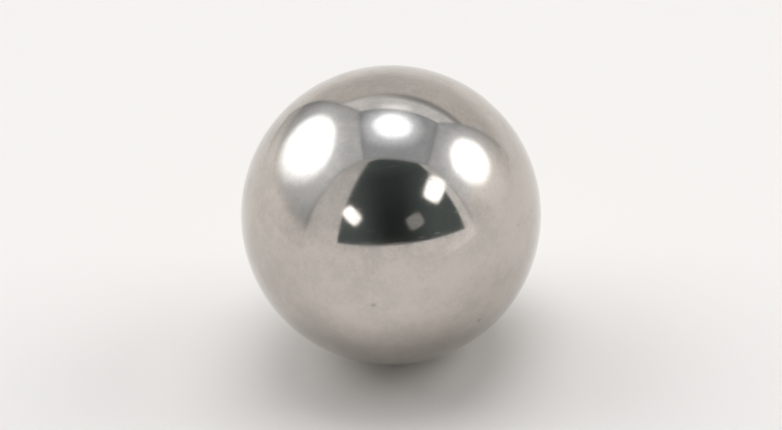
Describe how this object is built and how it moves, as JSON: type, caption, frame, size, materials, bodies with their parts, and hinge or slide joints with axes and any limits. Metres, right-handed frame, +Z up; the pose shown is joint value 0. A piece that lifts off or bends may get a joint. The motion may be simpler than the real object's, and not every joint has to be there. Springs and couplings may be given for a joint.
{
  "type": "steel ball",
  "caption": "Solid round steel ball with a mirror-polished surface, for rolling in a bearing, check valve, maze or magnet toy.",
  "frame": {"origin": "the centre of the ball", "axes": "+Z up; the ball is the same about every axis, so +X and +Y are any two level directions at right angles"},
  "size_m": [0.0254, 0.0254, 0.0254],
  "materials": {
    "polished_steel": "mirror-lapped hardened chromium steel, bright and slightly warm, with a very faint handling film"
  },
  "bodies": {
    "root": {"steel_ball": "polished_steel"}
  },
  "joints": []
}
